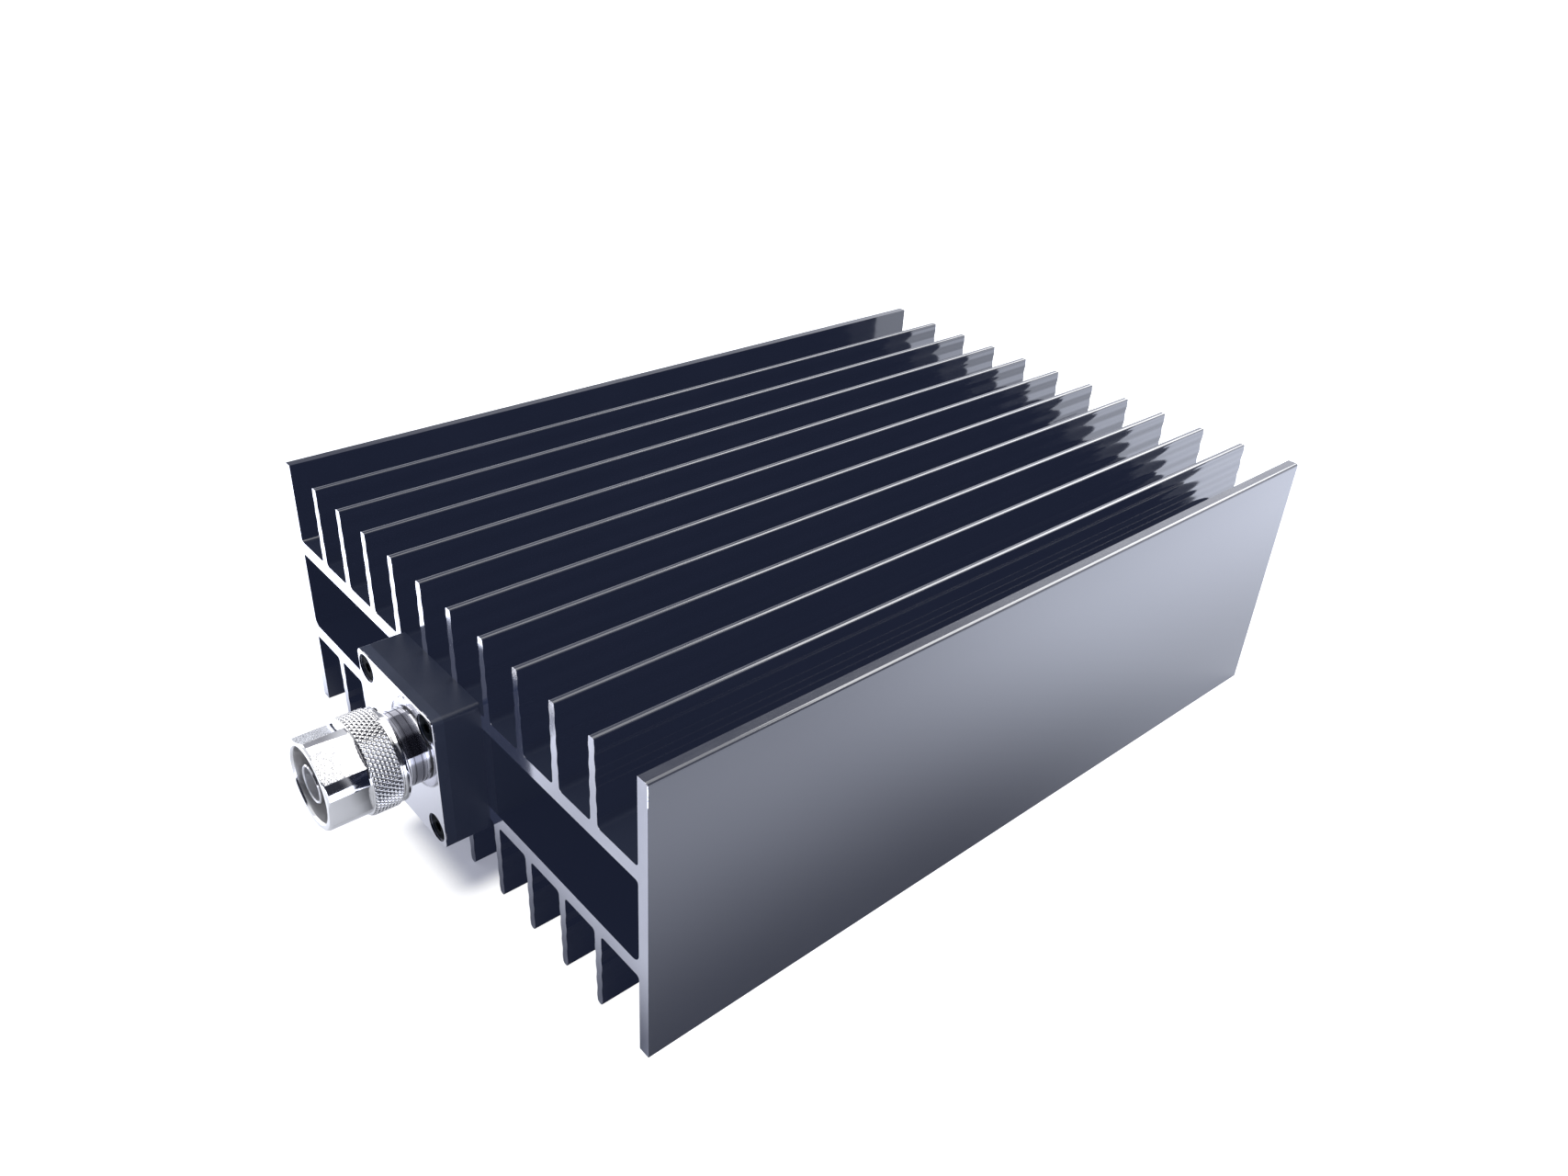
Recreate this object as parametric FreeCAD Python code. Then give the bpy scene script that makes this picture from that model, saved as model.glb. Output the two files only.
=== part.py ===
import FreeCAD, Part
import math
import os

# High power coaxial attenuator: a finned aluminium extrusion with a screened line housing in its
# tunnel, a screw-on coaxial plug at the front end and a threaded coaxial jack at the rear end.
# X is the width, Y the length (the plug points to -Y), Z is up. The origin is the middle of the
# overall width and length, on the surface that the lower fins stand on. Sizes are in millimetres.
# The pieces are drawn about the middle of the heat sink and moved to the origin when saved.

# Heat sink extrusion
sink_width = 140.0
sink_length = 200.0
sink_height = 65.0
wall_thickness = 2.7
wall_edge_radius = 0.7
tunnel_floor = 22.4
tunnel_height = 19.8
tunnel_lower_corner = 2.0
tunnel_upper_corner = 0.8
web_thickness = 3.3
fin_count = 10
fin_pitch = 12.07
fin_root_thickness = 2.1
fin_tip_thickness = 1.6
fin_drop = 0.5
fin_root_fillet = 0.9
upper_tip_radius = 0.35
lower_tip_radius = 0.7
half_wave = 2.15
wave_depth = 0.1
wave_free_tip = 0.8
wave_free_root = 3.0

# Line housing in the tunnel
housing_width = 38.2
thermal_gap = 0.05
cover_thickness = 3.0
cavity_width = 28.2
end_wall = 8.0
cavity_corner = 2.0

# Microstrip lines and the attenuating element
board_thickness = 1.6
board_width = 20.0
strip_width = 4.4
strip_thickness = 0.2
solder_gap = 0.05
element_length = 12.7
element_width = 24.8
element_flange = 3.0
element_corner = 1.0
element_slot = 0.3
chip_side = 9.6
chip_thickness = 1.0
chip_cap_side = 7.0
chip_cap_thickness = 0.8
lead_width = 3.2
lead_overlap = 3.0
element_screw_spacing = 18.4

# Square connector ends
end_size = 31.5
end_corner = 1.0
end_chamfer = 0.15
block_depth = 7.6
plate_thickness = 2.4
plate_screw_spacing = 24.7
block_screw_offset = 10.6

# Screws: radius of the thread, of the head, height of the head and size across the hex socket
m3_radius = 1.5
flat_head_radius = 2.85
flat_head_height = 1.7
flat_head_sink = 0.4
cap_head_radius = 2.75
cap_head_height = 3.0
m3_socket = 2.0
m25_radius = 1.25
m25_head_radius = 2.3
m25_head_height = 1.4
m25_socket = 1.5
socket_depth = 1.1
screw_clearance = 0.03
head_clearance = 0.25
plate_screw_length = 8.0
block_screw_length = 12.0
housing_screw_length = 8.0
housing_screw_rows = 4
housing_screw_row_pitch = 48.0
cover_screw_length = 8.0
cover_screw_rows = 4
cover_screw_row_pitch = 56.0
element_screw_length = 5.0

# Coaxial line shared by both connectors
shank_radius = 6.5
shank_clearance = 0.04
line_bore = 3.5
insulator_clearance = 0.02
contact_radius = 1.52
contact_clearance = 0.02
contact_tail = 3.0

# Plug, measured outwards from the face of its plate
neck_radius = 8.0
neck_length = 2.3
neck_ring_count = 3
neck_groove_width = 0.2
neck_groove_depth = 0.25
journal_radius = 6.4
journal_length = 8.4
ring_groove_start = 5.6
ring_groove_width = 1.2
ring_groove_radius = 5.7
sleeve_radius = 4.05
sleeve_tip = 18.5
sleeve_chamfer = 0.2
insulator_front = 12.0
pin_shoulder = 13.0
pin_tip = 17.6
pin_radius = 0.83
pin_nose = 1.0
seal_thickness = 1.0
seal_radius = 6.2
seal_gap = 0.05

# Retaining ring between the plug body and the coupling nut
ring_thickness = 1.0
ring_outer = 7.5
ring_fit = 0.1
ring_play = 0.3
ring_split = 1.5

# Coupling nut, measured outwards from the face of the plate; it runs this far in front of the neck
neck_gap = 0.3
nut_collar_radius = 10.0
nut_collar_end = 4.0
nut_groove_radius = 9.5
grip_start = 4.4
grip_end = 10.3
grip_radius = 10.35
grip_chamfer = 0.4
nut_end = 19.0
nut_front_radius = 9.6
nut_front_chamfer = 0.4
nut_across_flats = 18.1
nut_flat_angle = 52.0
nut_bore_fit = 0.05
thread_radius = 7.94
thread_minor_radius = 7.45
thread_start = 8.9
mouth_chamfer = 0.5

# Jack, measured outwards from the face of its plate
jack_collar_length = 2.5
jack_relief_length = 1.1
jack_relief_radius = 7.1
jack_length = 14.2
jack_chamfer = 0.6
socket_radius = 4.1
socket_bottom = 5.2
socket_chamfer = 0.8
jack_contact_tip = 10.4
jack_contact_bore = 0.83
jack_contact_bore_depth = 5.0
jack_contact_slot = 0.3

# Places worked out from the sizes above
half_length = sink_length / 2
half_width = sink_width / 2
tunnel_top = tunnel_floor + tunnel_height
axis_height = tunnel_floor + tunnel_height / 2
upper_web_top = tunnel_top + web_thickness
lower_web_bottom = tunnel_floor - web_thickness
plate_face = block_depth + plate_thickness
housing_bottom = tunnel_floor + thermal_gap
housing_top = tunnel_top - thermal_gap
cover_bottom = housing_top - cover_thickness
strip_top = axis_height - contact_radius - solder_gap
board_bottom = strip_top - strip_thickness - board_thickness
flange_top = strip_top - chip_thickness
flange_bottom = flange_top - element_flange
cavity_end = half_length - end_wall
housing_screw_x = fin_pitch
plug_reach = plate_face + nut_end
jack_reach = plate_face + jack_length
middle_shift = (plug_reach - jack_reach) / 2
nut_start = neck_length + neck_gap

# Points nearer than this are the same point
same_place = 1e-6


def v(x, y, z):
    return FreeCAD.Vector(x, y, z)


def box(x0, x1, y0, y1, z0, z1):
    return Part.makeBox(x1 - x0, y1 - y0, z1 - z0, v(x0, y0, z0))


def edges_along(shape, way):
    """Straight edges of a shape that run along one direction."""
    straight = [e for e in shape.Edges if isinstance(e.Curve, Part.Line)]
    return [e for e in straight if e.Curve.Direction.cross(way).Length < same_place]


def out(s):
    """Y of a place that lies s outside the front end of the heat sink."""
    return -half_length - s


def rod(radius, s0, s1, x=0.0, z=axis_height):
    """Round bar along Y between two distances from the front end of the heat sink."""
    return Part.makeCylinder(radius, s1 - s0, v(x, out(s0), z), v(0, -1, 0))


def turned(profile, x=0.0, z=axis_height):
    """Solid of revolution about the connector axis, from (distance, radius) corners."""
    corners = [v(x, out(s), z + r) for s, r in profile]
    corners.append(corners[0])
    face = Part.Face(Part.makePolygon(corners))
    return face.revolve(v(x, 0, z), v(0, 1, 0), 360)


def to_rear(shape):
    """The same piece at the other end of the heat sink."""
    turned_round = shape.copy()
    turned_round.rotate(v(0, 0, 0), v(0, 0, 1), 180)
    return turned_round


def save(name, shape):
    placed = shape.copy()
    placed.translate(v(0, middle_shift, 0))
    placed.exportStep("parts/" + name + ".step")


class Outline:
    """Closed outline in the XZ plane, drawn corner by corner."""

    def __init__(self, x, z):
        self.here = v(x, 0, z)
        self.start = self.here
        self.edges = []

    def line(self, x, z):
        there = v(x, 0, z)
        if there.distanceToPoint(self.here) > same_place:
            self.edges.append(Part.LineSegment(self.here, there).toShape())
            self.here = there

    def arc(self, mid_x, mid_z, x, z):
        there = v(x, 0, z)
        self.edges.append(Part.Arc(self.here, v(mid_x, 0, mid_z), there).toShape())
        self.here = there

    def corner(self, x, z, in_x, in_z, out_x, out_z, radius):
        """Round corner at (x, z), entered along (in_x, in_z) and left along (out_x, out_z)."""
        self.line(x - in_x * radius, z - in_z * radius)
        pull = radius * (1 - math.sqrt(0.5))
        self.arc(x - (in_x - out_x) * pull, z - (in_z - out_z) * pull,
                 x + out_x * radius, z + out_z * radius)

    def waves(self, x, z, count, first):
        """Run of half waves to (x, z) along a fin's side: the first bulges in X by this much."""
        from_x = self.here.x
        from_z = self.here.z
        for i in range(count):
            bulge = first * (-1) ** i
            middle = (i + 0.5) / count
            end = (i + 1) / count
            self.arc(from_x + (x - from_x) * middle + bulge, from_z + (z - from_z) * middle,
                     from_x + (x - from_x) * end, from_z + (z - from_z) * end)

    def face(self):
        self.line(self.start.x, self.start.z)
        return Part.Face(Part.Wire(self.edges))


def fin(outline, x, root_z, tip_z, way, up, tip_radius):
    """One fin of the outline: up is 1 or -1 for its direction, way is the direction of travel in X."""
    root_half = fin_root_thickness / 2
    tip_half = fin_tip_thickness / 2
    height = abs(tip_z - root_z)
    count = int((height - wave_free_tip - wave_free_root) / half_wave)
    high = height - wave_free_tip
    low = high - count * half_wave
    last_bulge = wave_depth * (-1) ** (count - 1)

    def half_at(rise):
        return root_half + (tip_half - root_half) * rise / height

    outline.corner(x - way * root_half, root_z, way, 0, 0, up, fin_root_fillet)
    outline.line(x - way * half_at(low), root_z + up * low)
    outline.waves(x - way * half_at(high), root_z + up * high, count, -way * wave_depth)
    outline.corner(x - way * tip_half, tip_z, 0, up, way, 0, tip_radius)
    outline.corner(x + way * tip_half, tip_z, way, 0, 0, -up, tip_radius)
    outline.line(x + way * half_at(high), root_z + up * high)
    outline.waves(x + way * half_at(low), root_z + up * low, count, way * last_bulge)
    outline.corner(x + way * root_half, root_z, 0, -up, way, 0, fin_root_fillet)


def heatsink():
    inner = half_width - wall_thickness
    first = -fin_pitch * (fin_count - 1) / 2
    places = [first + i * fin_pitch for i in range(fin_count)]
    o = Outline(-half_width, 0)
    o.corner(-half_width, sink_height, 0, 1, 1, 0, wall_edge_radius)
    o.line(-inner, sink_height)
    o.corner(-inner, upper_web_top, 0, -1, 1, 0, fin_root_fillet)
    for x in places:
        fin(o, x, upper_web_top, sink_height - fin_drop, 1, 1, upper_tip_radius)
    o.corner(inner, upper_web_top, 1, 0, 0, 1, fin_root_fillet)
    o.line(inner, sink_height)
    o.corner(half_width, sink_height, 1, 0, 0, -1, wall_edge_radius)
    o.line(half_width, 0)
    o.line(inner, 0)
    o.corner(inner, lower_web_bottom, 0, 1, -1, 0, fin_root_fillet)
    for x in reversed(places):
        fin(o, x, lower_web_bottom, 0, -1, -1, lower_tip_radius)
    o.corner(-inner, lower_web_bottom, -1, 0, 0, -1, fin_root_fillet)
    o.line(-inner, 0)
    section = o.face()

    t = Outline(-inner, axis_height)
    t.corner(-inner, tunnel_top, 0, 1, 1, 0, tunnel_upper_corner)
    t.corner(inner, tunnel_top, 1, 0, 0, -1, tunnel_upper_corner)
    t.corner(inner, tunnel_floor, 0, -1, -1, 0, tunnel_lower_corner)
    t.corner(-inner, tunnel_floor, -1, 0, 0, 1, tunnel_lower_corner)
    section = section.cut(t.face())

    solid = section.extrude(v(0, sink_length, 0)).Solids[0]
    solid.translate(v(0, -half_length, 0))
    for x, y in housing_screw_places():
        hole = Part.makeCylinder(m3_radius + head_clearance, web_thickness, v(x, y, lower_web_bottom))
        solid = solid.cut(hole)
    return solid


def hex_socket(across, depth, top, x, y, down):
    """Hexagonal pocket cut into a screw head along Z."""
    corners = []
    for i in range(7):
        a = math.radians(60 * i)
        r = across / math.sqrt(3)
        corners.append(v(x + r * math.cos(a), y + r * math.sin(a), top))
    return Part.Face(Part.makePolygon(corners)).extrude(v(0, 0, down * depth))


def screw(radius, length, head_radius, head_height, across, flat, overcut=0.0):
    """Screw along -Z with the top of its head at zero; overcut widens it into the hole it needs."""
    neck = radius if flat else head_radius
    profile = [(0, 0), (head_radius + overcut, 0), (neck + overcut, -head_height),
               (radius + overcut, -head_height), (radius + overcut, -length), (0, -length)]
    corners = []
    for r, z in profile:
        corner = v(r, 0, z)
        if not corners or corner.distanceToPoint(corners[-1]) > same_place:
            corners.append(corner)
    corners.append(corners[0])
    solid = Part.Face(Part.makePolygon(corners)).revolve(v(0, 0, 0), v(0, 0, 1), 360)
    if across > 0:
        solid = solid.cut(hex_socket(across, socket_depth, 0, 0, 0, -1))
    return solid


def put(shape, axis_way, place):
    """Copy of a screw drawn along -Z, turned so that its head faces axis_way and moved to place."""
    copy = shape.copy()
    copy.Placement = FreeCAD.Placement(place, FreeCAD.Rotation(v(0, 0, 1), axis_way))
    return copy


def housing_screw_places():
    rows = [(i - (housing_screw_rows - 1) / 2) * housing_screw_row_pitch for i in range(housing_screw_rows)]
    return [(x, y) for x in (-housing_screw_x, housing_screw_x) for y in rows]


def cover_screw_places():
    x = (housing_width + cavity_width) / 4
    rows = [(i - (cover_screw_rows - 1) / 2) * cover_screw_row_pitch for i in range(cover_screw_rows)]
    return [(sx * x, y) for sx in (-1, 1) for y in rows]


def plate_screw_places():
    half = plate_screw_spacing / 2
    return [v(sx * half, out(plate_face - flat_head_sink), axis_height + sz * half)
            for sx in (-1, 1) for sz in (-1, 1)]


def block_screw_places():
    head_top = out(block_depth - head_clearance)
    return [v(sx * block_screw_offset, head_top, axis_height) for sx in (-1, 1)]


def group(tool, way, places):
    return Part.Compound([put(tool, way, p) for p in places])


flat_m3 = screw(m3_radius, plate_screw_length, flat_head_radius, flat_head_height, m3_socket, True)
flat_m3_hole = screw(m3_radius, plate_screw_length, flat_head_radius, flat_head_height, 0, True, screw_clearance)
cap_block = screw(m3_radius, block_screw_length, cap_head_radius, cap_head_height, m3_socket, False)
cap_housing = screw(m3_radius, housing_screw_length + cap_head_height, cap_head_radius,
                    cap_head_height, m3_socket, False)
flat_m25 = screw(m25_radius, cover_screw_length, m25_head_radius, m25_head_height, m25_socket, True)
flat_m25_hole = screw(m25_radius, cover_screw_length, m25_head_radius, m25_head_height, 0, True, screw_clearance)
cap_element = screw(m3_radius, element_screw_length + cap_head_height, cap_head_radius,
                    cap_head_height, m3_socket, False)


def housing_body():
    half = housing_width / 2
    body = box(-half, half, -half_length, half_length, housing_bottom, cover_bottom)
    cavity_half = cavity_width / 2
    cavity = box(-cavity_half, cavity_half, -cavity_end, cavity_end, board_bottom, cover_bottom)
    body = body.cut(cavity.makeFillet(cavity_corner, edges_along(cavity, v(0, 0, 1))))
    pocket_half = element_width / 2 + head_clearance
    pocket_reach = element_length / 2 + head_clearance
    body = body.cut(box(-pocket_half, pocket_half, -pocket_reach, pocket_reach, flange_bottom, cover_bottom))
    body = body.cut(rod(line_bore, -end_wall, 0))
    body = body.cut(to_rear(rod(line_bore, -end_wall, 0)))
    for place in block_screw_places():
        hole = rod(m3_radius + screw_clearance, -end_wall, 0, place.x, place.z)
        body = body.cut(hole)
        body = body.cut(to_rear(hole))
    for x, y in housing_screw_places():
        depth = housing_screw_length - web_thickness + head_clearance
        body = body.cut(Part.makeCylinder(m3_radius + screw_clearance, depth, v(x, y, housing_bottom)))
    for x, y in cover_screw_places():
        body = body.cut(put(flat_m25_hole, v(0, 0, 1), v(x, y, housing_top)))
    for sx in (-1, 1):
        hole = Part.makeCylinder(m3_radius + screw_clearance, flange_bottom - housing_bottom,
                                 v(sx * element_screw_spacing / 2, 0, housing_bottom))
        body = body.cut(hole)
    return body


def housing_cover():
    half = housing_width / 2
    cover = box(-half, half, -half_length, half_length, cover_bottom, housing_top)
    for x, y in cover_screw_places():
        cover = cover.cut(put(flat_m25_hole, v(0, 0, 1), v(x, y, housing_top)))
    return cover


def line_board(sign):
    inner = element_length / 2 + element_slot
    y0, y1 = sorted((sign * inner, sign * (cavity_end - element_slot)))
    half = board_width / 2
    return box(-half, half, y0, y1, board_bottom, board_bottom + board_thickness)


def line_strip(sign):
    inner = element_length / 2 + element_slot
    y0, y1 = sorted((sign * inner, sign * (cavity_end - element_slot)))
    half = strip_width / 2
    return box(-half, half, y0, y1, strip_top - strip_thickness, strip_top)


def element_flange_plate():
    half_x = element_width / 2
    half_y = element_length / 2
    plate = box(-half_x, half_x, -half_y, half_y, flange_bottom, flange_top)
    plate = plate.makeFillet(element_corner, edges_along(plate, v(0, 0, 1)))
    for sx in (-1, 1):
        plate = plate.cut(Part.makeCylinder(m3_radius + head_clearance, element_flange,
                                            v(sx * element_screw_spacing / 2, 0, flange_bottom)))
    return plate


def element_chip():
    half = chip_side / 2
    return box(-half, half, -half, half, flange_top, flange_top + chip_thickness)


def element_cap():
    half = chip_cap_side / 2
    base = flange_top + chip_thickness
    return box(-half, half, -half, half, base, base + chip_cap_thickness)


def element_leads():
    half = lead_width / 2
    start = chip_cap_side / 2
    end = element_length / 2 + element_slot + lead_overlap
    leads = [box(-half, half, start, end, strip_top, strip_top + strip_thickness),
             box(-half, half, -end, -start, strip_top, strip_top + strip_thickness)]
    return Part.Compound(leads)


def end_square(s0, s1):
    """Square bar with rounded corners, broken edges on its outer face and the shank's bore."""
    half = end_size / 2
    solid = box(-half, half, out(s1), out(s0), axis_height - half, axis_height + half)
    solid = solid.makeFillet(end_corner, edges_along(solid, v(0, 1, 0)))
    return solid.cut(rod(shank_radius + shank_clearance, s0, s1))


def end_block():
    block = end_square(0, block_depth)
    for place in plate_screw_places():
        block = block.cut(put(flat_m3_hole, v(0, -1, 0), place))
    for place in block_screw_places():
        block = block.cut(rod(m3_radius + head_clearance, 0, block_depth, place.x, place.z))
        floor = -half_length - place.y - cap_head_height
        block = block.cut(rod(cap_head_radius + head_clearance, floor, block_depth, place.x, place.z))
    return block


def face_plate():
    plate = end_square(block_depth, plate_face)
    sides = edges_along(plate, v(1, 0, 0)) + edges_along(plate, v(0, 0, 1))
    rim = [e for e in sides if abs(e.CenterOfMass.y - out(plate_face)) < same_place]
    plate = plate.makeChamfer(end_chamfer, rim)
    for place in plate_screw_places():
        plate = plate.cut(put(flat_m3_hole, v(0, -1, 0), place))
        entry = rod(flat_head_radius + head_clearance, plate_face - flat_head_sink, plate_face,
                    place.x, place.z)
        plate = plate.cut(entry)
    return plate


def plug_body():
    f = plate_face
    profile = [
        (0, line_bore), (f + sleeve_tip - sleeve_chamfer, line_bore),
        (f + sleeve_tip, line_bore + sleeve_chamfer), (f + sleeve_tip, sleeve_radius - sleeve_chamfer),
        (f + sleeve_tip - sleeve_chamfer, sleeve_radius), (f + journal_length, sleeve_radius),
        (f + journal_length, journal_radius), (f + ring_groove_start + ring_groove_width, journal_radius),
        (f + ring_groove_start + ring_groove_width, ring_groove_radius),
        (f + ring_groove_start, ring_groove_radius), (f + ring_groove_start, journal_radius),
        (f + neck_length, journal_radius), (f + neck_length, neck_radius), (f, neck_radius),
        (f, shank_radius), (0, shank_radius),
    ]
    body = turned(profile)
    groove_floor = neck_radius - neck_groove_depth
    for i in range(1, neck_ring_count):
        start = f + neck_length * i / neck_ring_count - neck_groove_width / 2
        end = start + neck_groove_width
        reach = neck_radius + neck_groove_depth
        body = body.cut(turned([(start, groove_floor), (start, reach), (end, reach), (end, groove_floor)]))
    return body


def plug_seal():
    f = plate_face + journal_length
    inner = sleeve_radius + seal_gap
    return turned([(f, inner), (f, seal_radius), (f + seal_thickness, seal_radius), (f + seal_thickness, inner)])


def insulator(front):
    """Polymer bead that fills the line from the cavity of the housing to its front face."""
    outer = line_bore - insulator_clearance
    inner = contact_radius + contact_clearance
    return turned([(-end_wall, inner), (-end_wall, outer), (front, outer), (front, inner)])


def plug_pin():
    f = plate_face
    tip = f + pin_tip
    return turned([(-end_wall - contact_tail, 0), (-end_wall - contact_tail, contact_radius),
                   (f + pin_shoulder, contact_radius), (f + pin_shoulder, pin_radius),
                   (tip - pin_nose, pin_radius), (tip, pin_radius / 2), (tip, 0)])


def retaining_ring():
    middle = plate_face + ring_groove_start + ring_groove_width / 2
    start = middle - ring_thickness / 2
    end = middle + ring_thickness / 2
    inner = ring_groove_radius + ring_fit
    ring = turned([(start, inner), (start, ring_outer), (end, ring_outer), (end, inner)])
    split = box(-ring_split / 2, ring_split / 2, out(end), out(start), axis_height, axis_height + 2 * ring_outer)
    return ring.cut(split)


def coupling_nut():
    f = plate_face
    bore = journal_radius + nut_bore_fit
    groove_from = f + ring_groove_start + (ring_groove_width - ring_thickness) / 2 - ring_play
    groove_to = groove_from + ring_thickness + 2 * ring_play
    groove_radius = ring_outer + ring_play
    profile = [
        (f + nut_start, bore), (f + nut_start, nut_collar_radius - grip_chamfer),
        (f + nut_start + grip_chamfer, nut_collar_radius), (f + nut_collar_end, nut_collar_radius),
        (f + nut_collar_end, nut_groove_radius), (f + grip_start, nut_groove_radius),
        (f + grip_start, grip_radius - grip_chamfer), (f + grip_start + grip_chamfer, grip_radius),
        (f + grip_end - grip_chamfer, grip_radius), (f + grip_end, grip_radius - grip_chamfer),
        (f + grip_end, nut_front_radius), (f + nut_end - nut_front_chamfer, nut_front_radius),
        (f + nut_end, nut_front_radius - nut_front_chamfer),
        (f + nut_end, thread_radius + mouth_chamfer / 2), (f + nut_end - mouth_chamfer, thread_radius),
        (f + thread_start, thread_radius), (f + thread_start, thread_minor_radius),
        (groove_to, thread_minor_radius), (groove_to, groove_radius), (groove_from, groove_radius),
        (groove_from, bore),
    ]
    nut = turned([p for i, p in enumerate(profile) if i == 0 or p != profile[i - 1]])
    reach = nut_front_radius + grip_chamfer
    flat = box(nut_across_flats / 2, nut_across_flats, out(f + nut_end + grip_chamfer), out(f + grip_end),
               axis_height - reach, axis_height + reach)
    for i in range(6):
        tool = flat.copy()
        tool.rotate(v(0, 0, axis_height), v(0, -1, 0), nut_flat_angle + 60 * i)
        nut = nut.cut(tool)
    return nut


def jack_body():
    f = plate_face
    relief_end = jack_collar_length + jack_relief_length
    profile = [
        (0, line_bore), (f + socket_bottom, line_bore), (f + socket_bottom, socket_radius),
        (f + jack_length - socket_chamfer, socket_radius), (f + jack_length, socket_radius + socket_chamfer),
        (f + jack_length, thread_radius - jack_chamfer), (f + jack_length - jack_chamfer, thread_radius),
        (f + relief_end, thread_radius), (f + relief_end, jack_relief_radius),
        (f + jack_collar_length, jack_relief_radius), (f + jack_collar_length, neck_radius),
        (f, neck_radius), (f, shank_radius), (0, shank_radius),
    ]
    return to_rear(turned(profile))


def jack_contact():
    f = plate_face
    tip = f + jack_contact_tip
    contact = turned([(-end_wall - contact_tail, 0), (-end_wall - contact_tail, contact_radius),
                      (tip, contact_radius), (tip, jack_contact_bore),
                      (tip - jack_contact_bore_depth, jack_contact_bore), (tip - jack_contact_bore_depth, 0)])
    half = jack_contact_slot / 2
    reach = contact_radius * 2
    start = tip - jack_contact_bore_depth
    across = box(-reach, reach, out(tip), out(start), axis_height - half, axis_height + half)
    upright = box(-half, half, out(tip), out(start), axis_height - reach, axis_height + reach)
    return to_rear(contact.cut(across).cut(upright))


os.makedirs("parts", exist_ok=True)

save("heatsink", heatsink())

save("housing_body", housing_body())
save("housing_cover", housing_cover())
save("cover_screws", group(flat_m25, v(0, 0, 1), [v(x, y, housing_top) for x, y in cover_screw_places()]))
screw_seat = lower_web_bottom - cap_head_height
save("housing_screws", group(cap_housing, v(0, 0, -1), [v(x, y, screw_seat) for x, y in housing_screw_places()]))

save("front_line_board", line_board(-1))
save("rear_line_board", line_board(1))
save("front_line_strip", line_strip(-1))
save("rear_line_strip", line_strip(1))
save("element_flange", element_flange_plate())
save("element_chip", element_chip())
save("element_cap", element_cap())
save("element_leads", element_leads())
element_head = flange_top + cap_head_height
element_places = [v(sx * element_screw_spacing / 2, 0, element_head) for sx in (-1, 1)]
save("element_screws", group(cap_element, v(0, 0, 1), element_places))

save("front_end_block", end_block())
save("rear_end_block", to_rear(end_block()))
save("front_face_plate", face_plate())
save("rear_face_plate", to_rear(face_plate()))
plate_screws = group(flat_m3, v(0, -1, 0), plate_screw_places())
save("front_plate_screws", plate_screws)
save("rear_plate_screws", to_rear(plate_screws))
block_screws = group(cap_block, v(0, -1, 0), block_screw_places())
save("front_block_screws", block_screws)
save("rear_block_screws", to_rear(block_screws))

save("plug_body", plug_body())
save("plug_seal", plug_seal())
save("plug_insulator", insulator(plate_face + insulator_front))
save("plug_centre_pin", plug_pin())
save("plug_retaining_ring", retaining_ring())
save("coupling_nut", coupling_nut())

save("jack_body", jack_body())
save("jack_insulator", to_rear(insulator(plate_face + socket_bottom)))
save("jack_contact", jack_contact())
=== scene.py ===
# Coaxial attenuator: finishes, knurl and threads, stage, lights and camera
import bpy
import bmesh
import math
from mathutils import Euler, Matrix, Vector


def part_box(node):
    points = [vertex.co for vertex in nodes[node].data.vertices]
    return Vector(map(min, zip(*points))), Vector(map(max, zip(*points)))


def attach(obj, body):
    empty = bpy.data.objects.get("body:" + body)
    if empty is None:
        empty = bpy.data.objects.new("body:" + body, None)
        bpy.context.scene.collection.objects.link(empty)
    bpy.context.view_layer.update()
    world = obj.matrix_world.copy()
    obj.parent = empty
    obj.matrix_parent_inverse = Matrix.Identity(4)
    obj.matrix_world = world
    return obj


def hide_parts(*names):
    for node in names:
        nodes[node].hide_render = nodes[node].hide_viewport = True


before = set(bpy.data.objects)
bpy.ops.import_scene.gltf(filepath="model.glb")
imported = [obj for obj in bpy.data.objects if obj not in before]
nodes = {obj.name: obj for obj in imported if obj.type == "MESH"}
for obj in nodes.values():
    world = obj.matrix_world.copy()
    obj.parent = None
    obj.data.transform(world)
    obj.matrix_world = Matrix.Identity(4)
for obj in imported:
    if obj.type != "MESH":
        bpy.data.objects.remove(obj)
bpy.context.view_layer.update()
mm = 0.001

# Places that the frame gives
sinkLow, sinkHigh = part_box("heatsink")
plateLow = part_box("front_face_plate")[0]
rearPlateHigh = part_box("rear_face_plate")[1]
nutLow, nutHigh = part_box("coupling_nut")
jackLow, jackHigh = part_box("jack_body")
axisHeight = (nutLow.z + nutHigh.z) / 2
axisPlace = Vector((0, 0, axisHeight))
sinkMiddle = (sinkLow.y + sinkHigh.y) / 2
sinkHalf = (sinkHigh.y - sinkLow.y) / 2
screwHeadRadius = 2.85 * mm
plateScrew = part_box("front_plate_screws")[1].x - screwHeadRadius
# the rear half, where bare faces take a darker colour as painted shade
rearShadeSpan = (0, 10)
print("frame loaded")


def spanAt(origin, span):
    # the two ends of a mask: metres, from spans in millimetres
    return [origin + end * mm for end in span]


def rgb(r, g, b):
    return (r, g, b, 1.0)


black = rgb(0, 0, 0)
white = rgb(1, 1, 1)


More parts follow.
